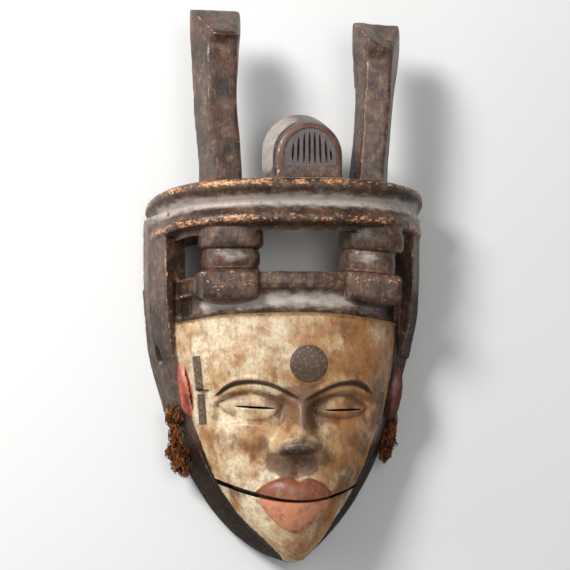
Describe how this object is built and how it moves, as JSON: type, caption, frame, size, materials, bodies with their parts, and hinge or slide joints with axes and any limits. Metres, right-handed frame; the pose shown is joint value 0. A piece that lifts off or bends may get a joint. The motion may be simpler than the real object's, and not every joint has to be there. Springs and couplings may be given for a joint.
{
  "type": "articulated face mask",
  "caption": "Carved wooden face mask with a hinged lower jaw, a moulded half ring on ringed pillars above the brow, and tall flaring posts.",
  "frame": {"origin": "middle of the underside of the bounding box, on the plane of the back rim that the mask lies on", "axes": "+X towards the picture's right, +Y from the chin to the tips of the posts, +Z out of the face"},
  "size_m": [0.2474, 0.4774, 0.118],
  "materials": {
    "patinated_wood": "dark handled patina, the face under worn white clay",
    "painted_wood": "worn white clay over ochre, arms left dark",
    "plant_fibre": "matted dry fibre"
  },
  "bodies": {
    "mask": {"mask_body": "patinated_wood", "fibre_tie_left": "plant_fibre", "fibre_tie_right": "plant_fibre"},
    "lower_jaw": {"jaw": "painted_wood"}
  },
  "joints": [
    {"name": "jaw_hinge", "type": "hinge", "parent": "mask", "child": "lower_jaw", "pos_m": [0, -0.1478, 0.024], "axis": [1, 0, 0], "range_deg": [-1.5, 8]}
  ]
}
